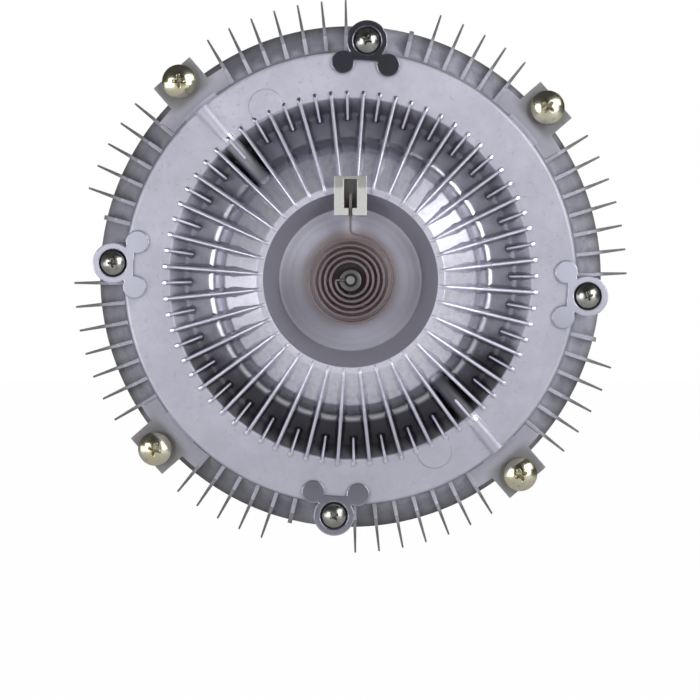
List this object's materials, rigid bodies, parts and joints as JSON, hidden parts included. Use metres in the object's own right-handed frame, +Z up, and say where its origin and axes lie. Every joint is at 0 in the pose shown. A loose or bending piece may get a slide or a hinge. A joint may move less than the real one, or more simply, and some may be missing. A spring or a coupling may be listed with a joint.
{
  "type": "viscous fan clutch",
  "caption": "Viscous fan clutch: finned aluminium housing with a bimetal coil in front, fan tabs round the rim and a drive shaft with a bolt flange behind.",
  "frame": {"origin": "centre of the drive flange's rear face, on the clutch axis", "axes": "+Y along the axis to the rear, where the drive flange is bolted on; the bimetal front faces -Y; +Z up"},
  "size_m": [0.259, 0.0956, 0.259],
  "materials": {
    "cast_aluminium": "as cast, satin",
    "body_aluminium": "as cast, satin",
    "machined_aluminium": "turned",
    "steel": "ground",
    "bright_steel": "bright zinc",
    "yellow_zinc": "yellow zinc plated",
    "bimetal": "heat-tinted strip",
    "rubber": "matte",
    "brass": "pressed"
  },
  "bodies": {
    "drive": {"drive_shaft": "steel", "bearing_inner_ring": "bright_steel", "rotor": "machined_aluminium", "rotor_circlip": "steel"},
    "housing": {"rear_body": "body_aluminium", "front_cover": "cast_aluminium", "bearing_outer_ring": "bright_steel", "bearing_seal_rear": "rubber", "bearing_seal_front": "rubber", "bearing_circlip": "steel", "cover_seal": "rubber", "separator_plate": "bright_steel", "separator_screws": "steel", "cover_screws": "bright_steel", "fan_screws": "yellow_zinc", "return_passage_plugs": "steel", "bimetal_coil": "bimetal"},
    "ball_set": {"bearing_cage": "brass", "bearing_balls": "bright_steel"},
    "valve": {"valve_shaft": "steel", "valve_arm": "bright_steel", "valve_shaft_seal": "rubber"}
  },
  "joints": [
    {"name": "housing_spin", "type": "hinge", "parent": "drive", "child": "housing", "pos_m": [0, -0.041, 0], "axis": [0, -1, 0], "continuous": true},
    {"name": "ball_set_spin", "type": "hinge", "parent": "drive", "child": "ball_set", "pos_m": [0, -0.041, 0], "axis": [0, -1, 0], "continuous": true},
    {"name": "valve_turn", "type": "hinge", "parent": "housing", "child": "valve", "pos_m": [0, -0.08, 0], "axis": [0, -1, 0], "range_deg": [0, 35], "stiffness_Nm_per_rad": 0.1, "deforming": ["bimetal_coil"]}
  ],
  "couplings": [
    {"joint": "ball_set_spin", "follows": "housing_spin", "ratio": 0.6033}
  ]
}
